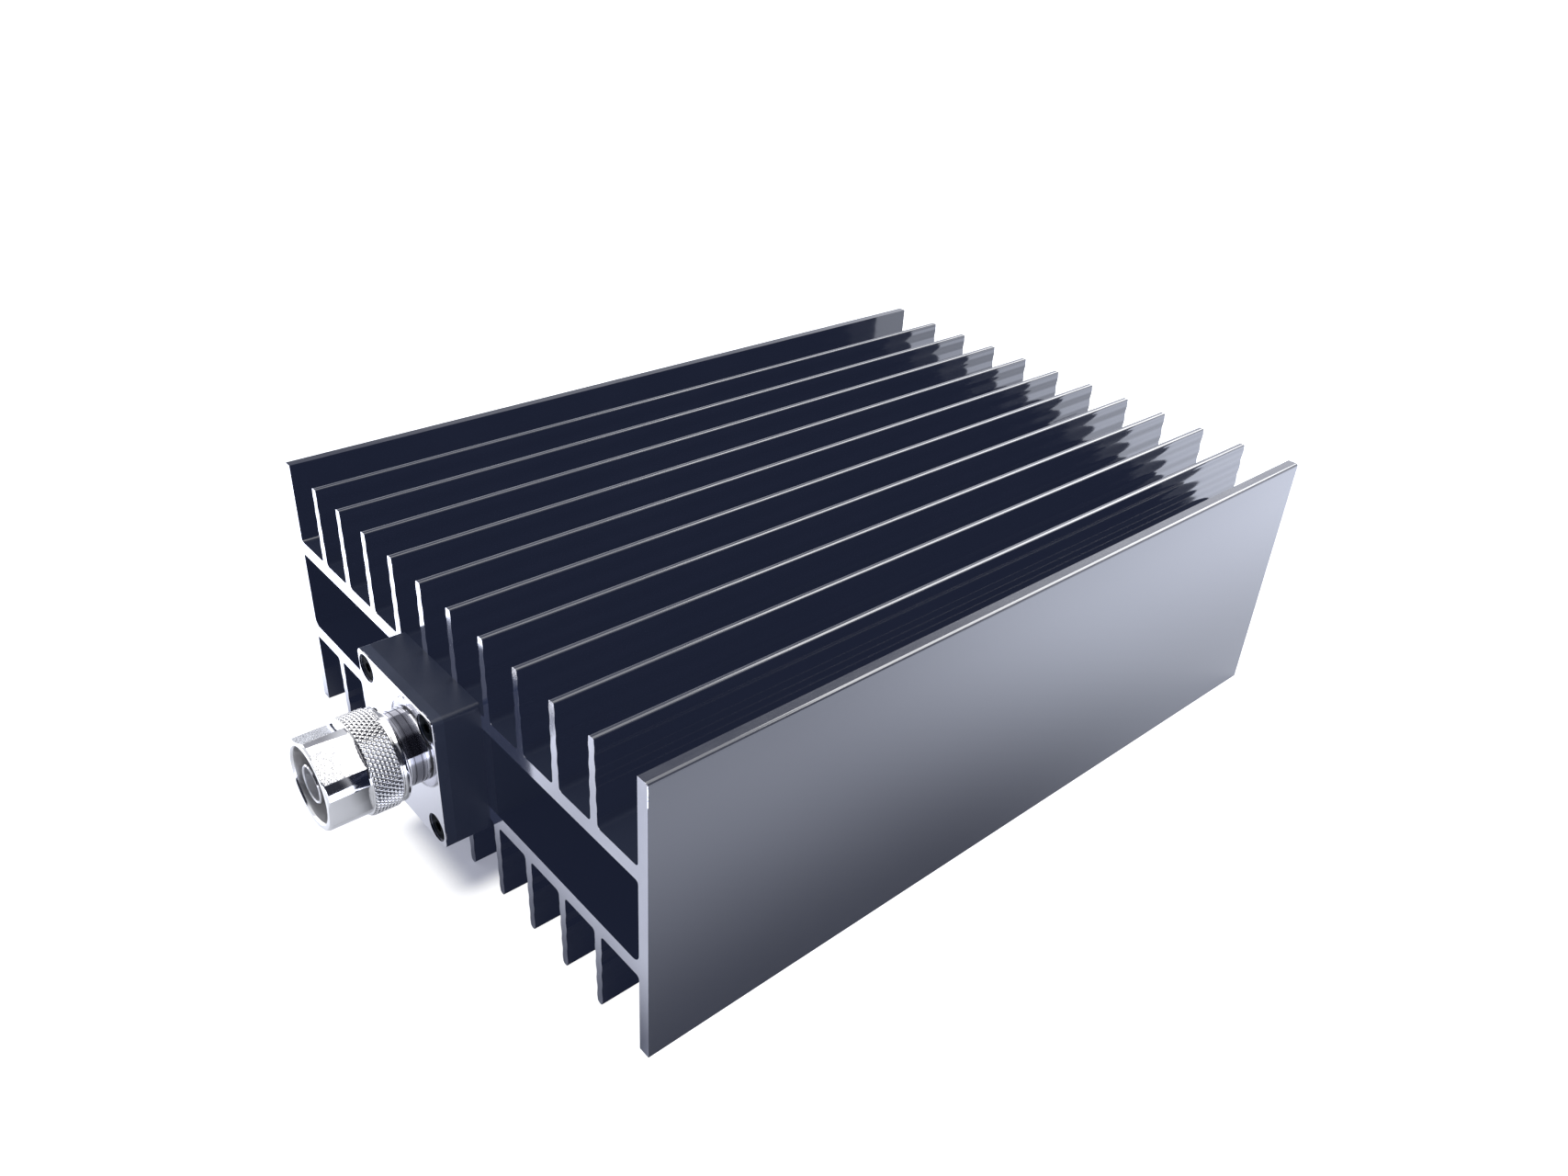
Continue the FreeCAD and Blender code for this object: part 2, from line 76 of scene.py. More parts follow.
# Shader values: Python expressions on them add Math nodes
class Value:
    def __init__(self, finish, socket):
        self.finish = finish
        self.socket = socket

    def math(self, operation, a, b=None, c=None):
        return self.finish.node("ShaderNodeMath", {"operation": operation}, {0: a, 1: b, 2: c})

    def __add__(self, other):
        return self.math("ADD", self, other)

    def __radd__(self, other):
        return self.math("ADD", other, self)

    def __sub__(self, other):
        return self.math("SUBTRACT", self, other)

    def __rsub__(self, other):
        return self.math("SUBTRACT", other, self)

    def __mul__(self, other):
        return self.math("MULTIPLY", self, other)

    def __rmul__(self, other):
        return self.math("MULTIPLY", other, self)

    def __abs__(self):
        return self.math("ABSOLUTE", self)

    def above(self, limit):
        return self.math("GREATER_THAN", self, limit)

    def larger(self, other):
        return self.math("MAXIMUM", self, other)

    def squareRoot(self):
        return self.math("SQRT", self)

    def wrapped(self, half):
        return self.math("WRAP", self, half, -half)


class Finish:
    def __init__(self, name, tree=None):
        if tree is None:
            self.material = bpy.data.materials.new(name)
            self.material.use_nodes = True
            tree = self.material.node_tree
        self.tree = tree
        self.tree.nodes.clear()

    def node(self, kind, settings=None, inputs=None, output=0):
        made = self.tree.nodes.new(kind)
        for key, setting in (settings or {}).items():
            setattr(made, key, setting)
        for key, given in (inputs or {}).items():
            if isinstance(given, Value):
                self.tree.links.new(given.socket, made.inputs[key])
            elif given is not None:
                made.inputs[key].default_value = given
        return Value(self, made.outputs[output])

    def place(self):
        return self.node("ShaderNodeTexCoord", output="Object")

    def along(self, vector, letter):
        return self.node("ShaderNodeSeparateXYZ", None, {0: vector}, letter)

    def fromAxis(self, place):
        # distance from the connector axis
        x = self.along(place, "X")
        z = self.along(place, "Z") - axisHeight
        return (x * x + z * z).squareRoot()

    def rearShadeMask(self, place):
        # 0 on the front half, 1 on the rear half: the mask of the painted shade on the rear bare faces
        return self.between(self.along(place, "Y"), *spanAt(0, rearShadeSpan))

    def moved(self, vector, scale=(1, 1, 1), rotation=(0, 0, 0)):
        return self.node("ShaderNodeMapping", None, {"Vector": vector, "Scale": scale, "Rotation": rotation})

    def noise(self, vector, scale, detail=2.0, roughness=0.5):
        return self.node("ShaderNodeTexNoise", None,
                         {"Vector": vector, "Scale": scale, "Detail": detail, "Roughness": roughness})

    def between(self, value, low, high, toLow=0.0, toHigh=1.0):
        return self.node("ShaderNodeMapRange", {"interpolation_type": "SMOOTHSTEP"},
                         {"Value": value, "From Min": low, "From Max": high,
                          "To Min": toLow, "To Max": toHigh})

    def falling(self, value, low, high):
        return self.between(value, low, high, 1.0, 0.0)

    def mix(self, factor, a, b):
        return self.node("ShaderNodeMix", {"data_type": "RGBA"}, {0: factor, 6: a, 7: b}, 2)

    def added(self, a, b):
        return self.node("ShaderNodeMix", {"data_type": "RGBA", "blend_type": "ADD", "clamp_result": False},
                         {0: 1.0, 6: a, 7: b}, 2)

    def bump(self, height):
        # height in metres
        return self.node("ShaderNodeBump", None, {"Height": height, "Strength": 1.0, "Distance": 1.0})

    def shader(self, **inputs):
        named = {key.replace("_", " "): given for key, given in inputs.items()}
        return self.node("ShaderNodeBsdfPrincipled", None, named, "BSDF")

    def finishWith(self, shader, output="ShaderNodeOutputMaterial"):
        made = self.tree.nodes.new(output)
        self.tree.links.new(shader.socket, made.inputs["Surface"])

    def surface(self, **inputs):
        self.finishWith(self.shader(**inputs))
        return self.material


# Black anodised extrusion: glossy drawn faces, bare sawn ends (darker on the rear half as painted shade),
# worn tips, channel roots dulled and darkened as painted shade, and a faint painted glow.
# In the settings of all finishes, a noise is its scale, detail and roughness, a range is of that noise
# (toRough for its share in the roughness), and a span is in millimetres from the face or centre that the
# code names
extrusion = {
    "colour": rgb(0.0045, 0.0055, 0.010), "faded": rgb(0.0065, 0.0075, 0.013),
    "paintedGlow": rgb(0.0092, 0.0120, 0.0255), "roughness": 0.07, "ior": 1.65,
    "cloudNoise": (30.0, 4.0, 0.55), "cloudRange": (0.35, 0.75), "cloudToRough": (0.3, 0.8),
    "cloudRough": 0.05,
    "lineColour": rgb(0.002, 0.003, 0.005), "lineShare": 0.35, "drawLine": 0.9 * mm, "drawStretch": 6.0,
    "lineNoise": (1.0, 3.0, 0.6), "lineRange": (0.62, 0.74), "lineToRough": (0.4, 0.8), "lineRough": 0.04,
    "drawDepth": 0.002 * mm,
    "worn": rgb(0.016, 0.017, 0.022), "wornSpan": (-0.30, -0.02), "rubStretch": (1, 0.2, 1),
    "rubNoise": (700.0, 3.0, 0.7), "rubRange": (0.30, 0.70),
    "bare": rgb(0.84, 0.85, 0.92), "bareDull": rgb(0.74, 0.75, 0.83), "bareRearShaded": rgb(0.26, 0.265, 0.28),
    "bareDepth": 0.02 * mm, "bareRoughness": 0.07,
    "patchNoise": (55.0, 3.0, 0.5), "patchRange": (0.35, 0.75), "patchToRough": (0.3, 0.8),
    "patchRough": 0.06,
    "sawScale": (900, 1, 6500), "sawTurn": (0, math.radians(12), 0), "sawNoise": (1.0, 2.0, 0.6),
    "sawDepth": 0.0016 * mm,
    "rootShade": rgb(0.0085, 0.0105, 0.0160), "rootShadeRoughness": 0.6, "rootShadeIor": 1.12,
    "channelFloor": 46.0 * mm, "rootSpan": (1.2, 1.8), "rootSide": (66, 67),
    "scuffNoise": (1500.0, 3.0, 0.6), "scuffRagAlong": 0.5 * mm, "scuffRagUp": 0.6 * mm,
    "scuffAlong": (0.12, 0.26), "scuffSide": (-0.3, -0.2), "scuffUp": (-5.0, -4.8),
    "finPitch": 12.07 * mm, "finsSide": (60, 61), "tipHalf": 0.8 * mm, "tipBend": 1.6 * mm,
    "tipSpan": (-0.90, -0.80),
}


def extrusionFinish():
    s = extrusion
    f = Finish("sinkAnodised")
    place = f.place()
    across = 1 / s["drawLine"]
    lines = f.noise(f.moved(place, (across, s["drawStretch"], across)), *s["lineNoise"])
    cloud = f.noise(place, *s["cloudNoise"])
    colour = f.mix(f.between(cloud, *s["cloudRange"]), s["colour"], s["faded"])
    colour = f.mix(f.between(lines, *s["lineRange"]) * s["lineShare"], colour, s["lineColour"])
    tip = f.between(f.along(place, "Z"), *spanAt(sinkHigh.z, s["wornSpan"]))
    rub = f.noise(f.moved(place, s["rubStretch"]), *s["rubNoise"])
    colour = f.mix(tip * f.between(rub, *s["rubRange"]), colour, s["worn"])
    reach = abs(f.along(place, "Y") - sinkMiddle)
    bare = reach.above(sinkHalf - s["bareDepth"]).larger(scuff(f, place))
    saw = f.noise(f.moved(place, s["sawScale"], s["sawTurn"]), *s["sawNoise"])
    patch = f.noise(place, *s["patchNoise"])
    fresh = f.mix(f.between(patch, *s["patchRange"]), s["bare"], s["bareDull"])
    # the sawn ends on the rear half take a darker colour as painted shade
    colour = f.mix(bare, colour, f.mix(f.rearShadeMask(place), fresh, s["bareRearShaded"]))
    drawn = s["roughness"] + s["cloudRough"] * f.between(cloud, *s["cloudToRough"])
    drawn = drawn + s["lineRough"] * f.between(lines, *s["lineToRough"])
    sawn = s["bareRoughness"] + s["patchRough"] * f.between(patch, *s["patchToRough"])
    roughness = drawn * (1 - bare) + bare * sawn
    height = lines * s["drawDepth"] * (1 - bare) + bare * saw * s["sawDepth"]
    height = height + finTips(f, place) * (1 - bare)
    # both shaders carry the faint painted glow in their emission
    glossy = f.shader(Base_Color=colour, Roughness=roughness, Metallic=bare, Normal=f.bump(height),
                      IOR=s["ior"], Emission_Color=s["paintedGlow"], Emission_Strength=1.0)
    rootShade = f.shader(Base_Color=s["rootShade"], Roughness=s["rootShadeRoughness"], IOR=s["rootShadeIor"],
                     Emission_Color=s["paintedGlow"], Emission_Strength=1.0)
    # painted shade: at the channel roots a dark, dull, barely reflecting shader takes over
    root = channelRootShadeMask(f, place) * (1 - bare)
    f.finishWith(f.node("ShaderNodeMixShader", None, {0: root, 1: glossy, 2: rootShade}))
    return f.material


def channelRootShadeMask(f, place):
    # mask of the painted shade at the channel roots
    s = extrusion
    root = f.falling(abs(f.along(place, "Z") - s["channelFloor"]), *spanAt(0, s["rootSpan"]))
    return root * f.falling(abs(f.along(place, "X")), *spanAt(0, s["rootSide"]))


def scuff(f, place):
    # rubbed to bare metal at the front top corner of the right wall's outer face
    s = extrusion
    ragged = f.noise(place, *s["scuffNoise"]) - 0.5
    along = f.along(place, "Y") + ragged * s["scuffRagAlong"]
    up = f.along(place, "Z") + ragged * s["scuffRagUp"]
    corner = f.falling(along, *spanAt(sinkLow.y, s["scuffAlong"]))
    corner = corner * f.between(f.along(place, "X"), *spanAt(sinkHigh.x, s["scuffSide"]))
    return corner * f.between(up, *spanAt(sinkHigh.z, s["scuffUp"]))


def finTips(f, place):
    # crowns the flat of each upper fin's tip, as height in metres
    s = extrusion
    x = f.along(place, "X")
    half = s["finPitch"] / 2
    off = (x - half).wrapped(half)
    crown = (s["tipHalf"] ** 2 - off * off) * (0.5 / s["tipBend"])
    top = f.between(f.along(place, "Z"), *spanAt(sinkHigh.z, s["tipSpan"]))
    return crown * top * f.falling(abs(x), *spanAt(0, s["finsSide"]))


# Satin black of the blocks, plates and housing, with a faint painted glow; the plates' outer faces are
# skimmed bright, darker on the rear plate as painted shade
satin = {
    "colour": rgb(0.0050, 0.0068, 0.0125), "faded": rgb(0.0070, 0.0090, 0.0155),
    "plateColour": rgb(0.018, 0.022, 0.034), "paintedGlow": rgb(0.0105, 0.0135, 0.0270),
    "roughness": 0.42, "ior": 1.30, "cloudNoise": (45.0, 3.0, 0.5), "cloudRange": (0.35, 0.75),
    "cloudRough": 0.06, "grainStretch": (1, 0.5, 1), "grainNoise": (2600.0, 3.0, 0.6),
    "grainDepth": 0.003 * mm,
    "skimmed": rgb(0.86, 0.86, 0.91), "skimmedRearShaded": rgb(0.34, 0.34, 0.36), "skimRoughness": 0.07,
    "skimDepth": 0.12 * mm, "entryDepth": 0.38 * mm, "entrySpan": (3.4, 3.6),
}


def satinFinish(name, skimmed=False):
    s = satin
    f = Finish(name)
    place = f.place()
    cloud = f.noise(place, *s["cloudNoise"])
    grain = f.noise(f.moved(place, s["grainStretch"]), *s["grainNoise"])
    base = s["plateColour"] if skimmed else s["colour"]
    colour = f.mix(f.between(cloud, *s["cloudRange"]), base, s["faded"])
    roughness = s["roughness"] + s["cloudRough"] * (cloud - 0.5)
    # a faint painted glow in the emission lifts the black; none on the skimmed metal
    paintedGlow = s["paintedGlow"]
    height = grain * s["grainDepth"]
    metallic = 0.0
    if skimmed:
        reach = abs(f.along(place, "Y") - (plateLow.y + rearPlateHigh.y) / 2)
        outer = (rearPlateHigh.y - plateLow.y) / 2
        entry = nearScrews(f, place) * reach.above(outer - s["entryDepth"])
        metallic = reach.above(outer - s["skimDepth"]).larger(entry)
        # the skimmed face of the rear plate takes a darker colour as painted shade
        colour = f.mix(metallic, colour, f.mix(f.rearShadeMask(place), s["skimmed"], s["skimmedRearShaded"]))
        roughness = roughness * (1 - metallic) + metallic * s["skimRoughness"]
        height = height * (1 - metallic)
        paintedGlow = f.mix(metallic, paintedGlow, black)
    return f.surface(Base_Color=colour, Roughness=roughness, Metallic=metallic, IOR=s["ior"],
                     Normal=f.bump(height), Emission_Color=paintedGlow, Emission_Strength=1.0)


def nearScrews(f, place):
    # the countersinks' mouths, about the lines of the plate screws
    across = abs(f.along(place, "X")) - plateScrew
    up = abs(f.along(place, "Z") - axisHeight) - plateScrew
    return f.falling((across * across + up * up).squareRoot(), *spanAt(0, satin["entrySpan"]))


# Bright nickel plate. A base other than colour is for the plug body and the jack: a darker copy of the
# nickel as painted shade;
# it also darkens the ring next to the front plate as painted shade and roughens the bore
nickel = {
    # shaded and rear: the nickel darkened as painted shade, for the plug body and for the jack
    "colour": rgb(0.90, 0.895, 0.89), "shaded": rgb(0.62, 0.62, 0.64), "rear": rgb(0.42, 0.42, 0.43),
    "stain": rgb(0.78, 0.77, 0.76), "roughness": 0.06,
    "cloudNoise": (160.0, 3.0, 0.5), "cloudRange": (0.45, 0.85), "cloudToRough": (0.3, 0.8),
    "cloudRough": 0.05,
    "turnScale": (30, 9000, 30), "turnNoise": (1.0, 2.0, 0.5), "turnDepth": 0.0010 * mm,
    "spot": rgb(0.24, 0.24, 0.25), "frostNoise": (5000.0, 1.0, 0.5), "frostRange": (0.44, 0.56),
    "frostRoughness": 0.16, "frostDepth": 0.020 * mm,
    "boreRoughness": 0.36, "grooveShade": rgb(0.07, 0.07, 0.075), "grooveRoughness": 0.30,
    "inner": rgb(0.22, 0.22, 0.24), "innerSpan": (-1.9, -0.9), "innerEnd": (0, 0.5),
    "sleeveSpan": (3.7, 3.8), "sleeveRoughness": 0.45,
}


def nickelFinish(name, frosted=None, dulledAndShaded=None, base="colour"):
    # the two mask arguments give masks: of the speckled flats (frosted), and of the bore and the grooves;
    # the grooves are darkened as painted shade
    s = nickel
    f = Finish(name)
    place = f.place()
    cloud = f.noise(place, *s["cloudNoise"])
    turning = f.noise(f.moved(place, s["turnScale"]), *s["turnNoise"])
    colour = f.mix(f.between(cloud, *s["cloudRange"]), s[base], s["stain"])
    roughness = s["roughness"] + s["cloudRough"] * f.between(cloud, *s["cloudToRough"])
    height = turning * s["turnDepth"]
    if frosted:
        frost = frosted(f, place)
        grain = f.noise(place, *s["frostNoise"])
        colour = f.mix(frost * f.between(grain, *s["frostRange"]), colour, s["spot"])
        roughness = roughness + frost * s["frostRoughness"]
        height = height + frost * grain * s["frostDepth"]
    if dulledAndShaded:
        bore, grooveShade = dulledAndShaded(f, place)
        roughness = roughness * (1 - bore) + bore * s["boreRoughness"]
        # painted shade: the knurl's grooves darkened
        colour = f.mix(grooveShade, colour, s["grooveShade"])
        roughness = roughness + grooveShade * s["grooveRoughness"]
    if base != "colour":
        # painted shade: a darker ring next to the front plate
        y = f.along(place, "Y")
        inner = f.between(y, *spanAt(plateLow.y, s["innerSpan"]))
        inner = inner * f.falling(y, *spanAt(plateLow.y, s["innerEnd"]))
        colour = f.mix(inner, colour, s["inner"])
        sleeve = spanAt(0, s["sleeveSpan"])
        roughness = roughness + f.between(f.fromAxis(place), *sleeve, s["sleeveRoughness"], 0.0)
    return f.surface(Base_Color=colour, Roughness=roughness, Metallic=1.0, Normal=f.bump(height))


# The other pieces: two tones in clouds, and a fine grain at the scale given
plain = {
    "coarser": 6, "cloud": (3.0, 0.5), "cloudRange": (0.3, 0.75), "grain": (3.0, 0.6), "grainRough": 0.08,
    "grainDepth": 0.004 * mm,
}


def plainFinish(name, colour, second, roughness, metallic=0.0, grain=900.0, ior=1.5):
    s = plain
    f = Finish(name)
    place = f.place()
    cloud = f.noise(place, grain / s["coarser"], *s["cloud"])
    fine = f.noise(place, grain, *s["grain"])
    mixed = f.mix(f.between(cloud, *s["cloudRange"]), colour, second)
    rough = roughness + s["grainRough"] * (fine - 0.5)
    return f.surface(Base_Color=mixed, Roughness=rough, Metallic=metallic, IOR=ior,
                     Normal=f.bump(fine * s["grainDepth"]))


finishes = {
    "sink": extrusionFinish(),
    "block": satinFinish("blockAnodised"),
    "plate": satinFinish("plateSkimmed", skimmed=True),
    "nickel": nickelFinish("nickelPlate"),
    "neck": nickelFinish("neckNickel", base="shaded"),
    "jack": nickelFinish("jackNickel", base="rear"),
    "silver": plainFinish("silverPlate", rgb(0.90, 0.89, 0.87), rgb(0.82, 0.81, 0.78), 0.16, 1.0),
    "bronze": plainFinish("springBronze", rgb(0.60, 0.42, 0.22), rgb(0.50, 0.34, 0.18), 0.30, 1.0),
    "copper": plainFinish("tinnedCopper", rgb(0.78, 0.50, 0.36), rgb(0.70, 0.66, 0.60), 0.28, 1.0),
    "blackScrew": plainFinish("blackOxide", rgb(0.004, 0.006, 0.009), rgb(0.006, 0.009, 0.012), 0.40,
                              ior=1.05),
    "zincScrew": plainFinish("zincPlate", rgb(0.60, 0.61, 0.62), rgb(0.50, 0.51, 0.53), 0.27, 1.0),
    "polymer": plainFinish("whitePolymer", rgb(0.84, 0.84, 0.82), rgb(0.78, 0.78, 0.75), 0.45, 0.0, 2500.0),
    "rubber": plainFinish("sealRubber", rgb(0.20, 0.045, 0.030), rgb(0.15, 0.035, 0.025), 0.60),
    "board": plainFinish("boardLaminate", rgb(0.66, 0.62, 0.48), rgb(0.58, 0.55, 0.42), 0.55, 0.0, 3000.0),
    "ceramic": plainFinish("chipCeramic", rgb(0.82, 0.82, 0.80), rgb(0.76, 0.76, 0.74), 0.50, 0.0, 4000.0),
}

nodeFinish = {
    "sink": ["heatsink"],
    "block": ["front_end_block", "rear_end_block", "housing_body", "housing_cover"],
    "plate": ["front_face_plate", "rear_face_plate"],
    "nickel": ["element_flange", "coupling_nut"],
    "jack": ["jack_body"],
    "neck": ["plug_body"],
    "silver": ["plug_centre_pin", "jack_contact"],
    "bronze": ["plug_retaining_ring"],
    "copper": ["front_line_strip", "rear_line_strip", "element_leads"],
    "blackScrew": ["front_plate_screws", "rear_plate_screws", "front_block_screws", "rear_block_screws",
                   "housing_screws"],
    "zincScrew": ["cover_screws", "element_screws"],
    "polymer": ["plug_insulator", "jack_insulator"],
    "rubber": ["plug_seal"],
    "board": ["front_line_board", "rear_line_board"],
    "ceramic": ["element_chip", "element_cap"],
}
for finishName, members in nodeFinish.items():
    for member in members:
        nodes[member].data.materials.clear()
        nodes[member].data.materials.append(finishes[finishName])
print("finishes set on the nodes")


# Mesh helpers: everything round is turned about the connector axis
sharpAngle = math.radians(28)
denseSharpAngle = math.radians(70)
denseFaces = 20000
edgeBreak = 0.05 * mm
weldDistance = 0.002 * mm
# 24 turns to the inch; half widths of its foot and crest as shares of the pitch
threadPitch = 25.4 / 24 * mm
threadFoot = 0.46
threadCrest = 0.09


def steepEdges(bm, angle):
    return [e for e in bm.edges if e.calc_face_angle(0) > angle]


def breakEdges(bm, edges):
    bmesh.ops.bevel(bm, geom=edges, offset=edgeBreak, affect="EDGES", segments=2, profile=0.5, material=-1)


def outline(bm, corners):
    ring = [bm.verts.new((0, y, axisHeight + r)) for y, r in corners]
    return ring + [bm.edges.new(pair) for pair in zip(ring, ring[1:] + ring[:1])]


def turned(corners, steps, broken=True):
    bm = bmesh.new()
    bmesh.ops.spin(bm, geom=outline(bm, corners), cent=axisPlace, axis=(0, 1, 0), angle=2 * math.pi,
                   steps=steps, use_merge=True)
    bmesh.ops.remove_doubles(bm, verts=bm.verts[:], dist=weldDistance)
    bmesh.ops.recalc_face_normals(bm, faces=bm.faces[:])
    if broken:
        breakEdges(bm, steepEdges(bm, sharpAngle))
    return bm


def radiusOf(co):
    return math.hypot(co.x, co.z - axisHeight)


def setRadius(vert, radius):
    now = radiusOf(vert.co)
    vert.co.x *= radius / now
    vert.co.z = axisHeight + (vert.co.z - axisHeight) * radius / now


def coil(root, crest, start, end, limit, steps=48):
    # a helical ridge from y = start to y = end; limit gives the crest that each y allows
    bm = bmesh.new()
    profile = [(-threadFoot, root), (-threadCrest, crest), (threadCrest, crest), (threadFoot, root)]
    section = outline(bm, [(start + share * threadPitch, r) for share, r in profile])
    turns = (end - start) / threadPitch
    count = max(8, round(steps * turns))
    bmesh.ops.spin(bm, geom=section, cent=axisPlace, axis=(0, 1, 0), dvec=(0, (end - start) / count, 0),
                   angle=2 * math.pi * turns, steps=count)
    bmesh.ops.holes_fill(bm, edges=[e for e in bm.edges if e.is_boundary])
    within = max if crest < root else min
    for vert in bm.verts:
        setRadius(vert, within(radiusOf(vert.co), limit(vert.co.y)))
    bmesh.ops.recalc_face_normals(bm, faces=bm.faces[:])
    return bm


def makePiece(name, parts, finish, body, replaced):
    whole = bmesh.new()
    for part in parts:
        loose = bpy.data.meshes.new(name + "Part")
        part.to_mesh(loose)
        part.free()
        loose.set_sharp_from_angle(angle=sharpAngle if len(loose.polygons) < denseFaces else denseSharpAngle)
        whole.from_mesh(loose)
        bpy.data.meshes.remove(loose)
    mesh = bpy.data.meshes.new(name)
    whole.to_mesh(mesh)
    whole.free()
    mesh.materials.append(finish)
    mesh.polygons.foreach_set("use_smooth", [True] * len(mesh.polygons))
    piece = bpy.data.objects.new(name, mesh)
    bpy.context.scene.collection.objects.link(piece)
    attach(piece, body)
    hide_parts(replaced)
    print(name, len(mesh.polygons), "faces")


# Coupling nut: collar, diamond-knurled grip, hexagon with turned corners, thread in the mouth.
# Millimetres: lengths from its back face, radii from the axis
nut = {
    "bore": 6.45, "grooveFrom": 2.8, "grooveTo": 4.4, "grooveRadius": 7.8, "minor": 7.45, "major": 7.94,
    "collarRadius": 10.0, "collarChamfer": 0.4, "collarEnd": 1.4, "neckRadius": 9.5,
    "gripFrom": 1.8, "gripTo": 7.7, "gripRadius": 10.35, "gripChamfer": 0.4, "gripFloor": 8.8,
    "frontRadius": 9.6, "frontChamfer": 0.4, "mouthChamfer": 0.5,
    "flats": 18.1, "flatAngle": 52.0, "flatBreak": math.radians(15), "steps": 144,
    "threadFrom": 6.3, "threadGap": 0.6, "threadInside": 5.0, "leadIn": 0.6, "leadOut": 0.2, "sunk": 0.03,
    "skin": 0.01, "weld": 0.005, "rimNear": 0.01, "cutNear": 0.0005,
    "knurlCount": 62, "knurlRows": 4, "stepsAround": 8, "stepsAlong": 14,
    "knurlDepth": 0.42, "knurlPower": 1.7, "secondFamily": 0.85,
    "flatSpan": (-0.03, -0.01), "flatEnd": (0.01, 0.02), "frostNoise": (700.0, 3.0, 0.6), "frostRag": 2.4,
    "frostUp": (2.5, 3.5), "frostEnd": (5.2, 6.8), "boreSpan": (0.02, 0.12), "gripSoft": 0.1,
    "grooveShadeSpan": (0.04, 0.22),
}


def nutPlace(outward):
    return nutHigh.y - outward * mm


def knurlGroove(turns, power):
    # 0 halfway between two grooves, 1 at a groove
    return abs(2 * (turns % 1.0) - 1) ** power


def knurlBand(s):
    # two families of helical grooves leave diamonds that are longer along the axis
    bm = bmesh.new()
    bmesh.ops.create_grid(bm, x_segments=s["stepsAround"] * s["knurlCount"],
                          y_segments=s["stepsAlong"] * s["knurlRows"], size=1.0)
    crest = s["gripRadius"] * mm
    width = (s["gripTo"] - s["gripFrom"]) * mm
    for vert in bm.verts:
        angle = math.pi * vert.co.x
        share = (vert.co.y + 1) / 2
        around = (vert.co.x + 1) / 2 * s["knurlCount"]
        across = share * s["knurlRows"]
        first = knurlGroove(around - across, s["knurlPower"])
        second = knurlGroove(around + across, s["knurlPower"]) * s["secondFamily"]
        rim = min(share, 1 - share) * width
        ramp = crest - max(0.0, s["gripChamfer"] * mm - rim)
        radius = min(crest - s["knurlDepth"] * mm * max(first, second), ramp)
        vert.co = Vector((radius * math.cos(angle), nutPlace(s["gripFrom"]) - share * width,
                          axisHeight + radius * math.sin(angle)))
    bmesh.ops.remove_doubles(bm, verts=bm.verts[:], dist=s["weld"] * mm)
    near = s["rimNear"] * mm
    for end in (nutPlace(s["gripFrom"]), nutPlace(s["gripTo"])):
        rim = [e for e in bm.edges if e.is_boundary and all(abs(v.co.y - end) < near for v in e.verts)]
        made = bmesh.ops.extrude_edge_only(bm, edges=rim)["geom"]
        for vert in [g for g in made if isinstance(g, bmesh.types.BMVert)]:
            setRadius(vert, s["gripFloor"] * mm)
    bmesh.ops.bridge_loops(bm, edges=[e for e in bm.edges if e.is_boundary])
    bmesh.ops.recalc_face_normals(bm, faces=bm.faces[:])
    return bm


def hexFront(s):
    back = nutPlace(s["gripTo"])
    front = nutLow.y
    chamfer = s["frontChamfer"] * mm
    mouth = s["mouthChamfer"] * mm
    bm = turned([
        (back, s["major"] * mm), (back, s["frontRadius"] * mm), (front + chamfer, s["frontRadius"] * mm),
        (front, s["frontRadius"] * mm - chamfer), (front, s["major"] * mm + mouth / 2),
        (front + mouth, s["major"] * mm)], s["steps"], broken=False)
    for i in range(6):
        angle = math.radians(s["flatAngle"] + 60 * i)
        outward = Vector((math.cos(angle), 0, math.sin(angle)))
        cut = bmesh.ops.bisect_plane(bm, geom=bm.verts[:] + bm.edges[:] + bm.faces[:],
                                     dist=s["cutNear"] * mm, clear_outer=True,
                                     plane_co=axisPlace + outward * s["flats"] / 2 * mm, plane_no=outward)
        rim = [g for g in cut["geom_cut"] if isinstance(g, bmesh.types.BMEdge)]
        bmesh.ops.edgenet_fill(bm, edges=rim)
    bmesh.ops.recalc_face_normals(bm, faces=bm.faces[:])
    breakEdges(bm, steepEdges(bm, s["flatBreak"]))
    return bm


def nutFlats(f, place):
    # mask of the speckles on the upper flats, ragged towards the mouth
    s = nut
    x = f.along(place, "X")
    z = f.along(place, "Z") - axisHeight
    half = s["flats"] / 2 * mm
    flat = None
    for i in range(3):
        angle = math.radians(s["flatAngle"] + 60 * i)
        reach = abs(x * math.cos(angle) + z * math.sin(angle))
        on = f.between(reach, *spanAt(half, s["flatSpan"])) * f.falling(reach, *spanAt(half, s["flatEnd"]))
        flat = on if flat is None else flat.larger(on)
    ragged = f.noise(place, *s["frostNoise"])
    edge = f.along(place, "Y") + (ragged - 0.5) * (s["frostRag"] * mm)
    upper = f.between(z, *spanAt(0, s["frostUp"]))
    return flat * upper * f.falling(edge, *spanAt(nutLow.y, s["frostEnd"]))


def nutBore(f, place):
    # masks of the bore and of the knurl's grooves; the grooves' mask darkens them as painted shade
    s = nut
    radius = f.fromAxis(place)
    bore = f.falling(radius, *spanAt(s["major"] * mm, s["boreSpan"]))
    y = f.along(place, "Y")
    grip = f.falling(y, *spanAt(nutPlace(s["gripFrom"]), (-s["gripSoft"], 0)))
    grip = grip * f.between(y, *spanAt(nutPlace(s["gripTo"]), (0, s["gripSoft"])))
    floor = (s["gripRadius"] - s["knurlDepth"]) * mm
    return bore, grip * f.falling(radius, *spanAt(floor, s["grooveShadeSpan"])) * (1 - bore)


